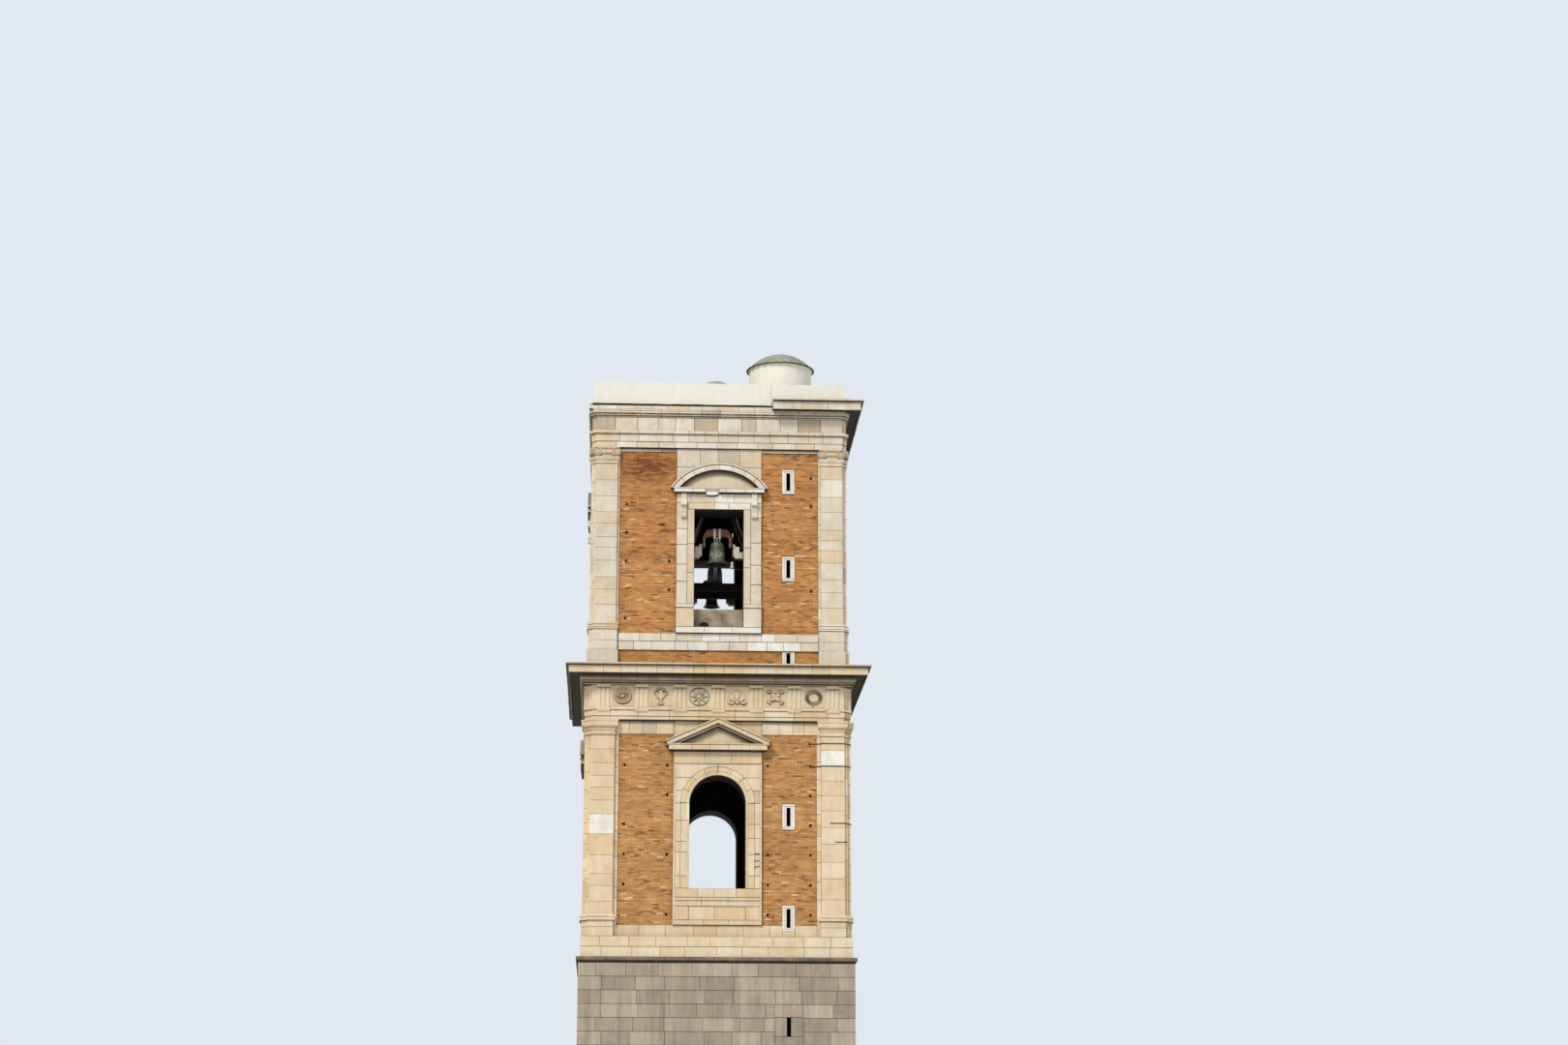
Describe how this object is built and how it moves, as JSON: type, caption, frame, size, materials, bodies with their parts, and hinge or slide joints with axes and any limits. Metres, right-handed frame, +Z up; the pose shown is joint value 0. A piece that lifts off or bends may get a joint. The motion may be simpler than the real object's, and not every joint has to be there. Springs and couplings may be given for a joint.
{
  "type": "bell tower, 1:2 scale model",
  "caption": "Square brick and marble bell tower of two arcaded storeys over a plain stone base, with swinging bells, cornices and a domed stair turret, as a half-size model.",
  "frame": {"origin": "centre of the tower's footprint at ground level", "axes": "+Z up, the pictured front faces -Y, +X to the right seen from the front"},
  "size_m": [6.55, 6.55, 21.62],
  "materials": {
    "marble": "weathered",
    "brick": "rough",
    "grey_stone": "rough",
    "dark_stone": "rough",
    "render": "rough",
    "bronze": "patina",
    "yoke_steel": "rusty",
    "iron": "rough",
    "frame_steel": "galvanised"
  },
  "bodies": {
    "tower": {"ground_plinth": "grey_stone", "base_front_back_walls": "grey_stone", "base_side_walls": "grey_stone", "door_surround": "marble", "string_course": "dark_stone", "plinth_courses": "marble", "lower_front_back_walls": "brick", "lower_side_walls": "brick", "lower_brick_panels": "brick", "lower_pilasters": "marble", "doric_capitals": "marble", "arch_surrounds": "marble", "arch_pediments": "marble", "slit_frames": "marble", "doric_architrave": "marble", "doric_frieze": "marble", "main_cornice": "marble", "belfry_front_back_walls": "brick", "belfry_side_walls": "brick", "belfry_brick_panels": "brick", "belfry_courses": "marble", "belfry_pilasters": "marble", "ionic_capitals": "marble", "window_surrounds": "marble", "window_consoles": "marble", "window_pediments": "marble", "window_parapets": "render", "upper_entablature": "marble", "upper_cornice": "marble", "attic_wall": "render", "roof_lantern": "render", "stair_turret": "render", "turret_dome": "grey_stone", "floor_slabs": "grey_stone", "bell_trestle": "frame_steel", "bell_corbels": "marble"},
    "front_bell_body": {"front_bell": "bronze", "front_yoke": "yoke_steel", "front_clapper": "iron"},
    "middle_bell_body": {"middle_bell": "bronze", "middle_yoke": "yoke_steel", "middle_clapper": "iron"},
    "rear_bell_body": {"rear_bell": "bronze", "rear_yoke": "yoke_steel", "rear_clapper": "iron"}
  },
  "joints": [
    {"name": "front_bell_swing", "type": "hinge", "parent": "tower", "child": "front_bell_body", "pos_m": [-0.025, -2.3, 16.99], "axis": [1, 0, 0], "range_deg": [-70, 70]},
    {"name": "middle_bell_swing", "type": "hinge", "parent": "tower", "child": "middle_bell_body", "pos_m": [0, 0, 16.99], "axis": [0, 1, 0], "range_deg": [-70, 70]},
    {"name": "rear_bell_swing", "type": "hinge", "parent": "tower", "child": "rear_bell_body", "pos_m": [0, 2.3, 16.99], "axis": [1, 0, 0], "range_deg": [-70, 70]}
  ]
}
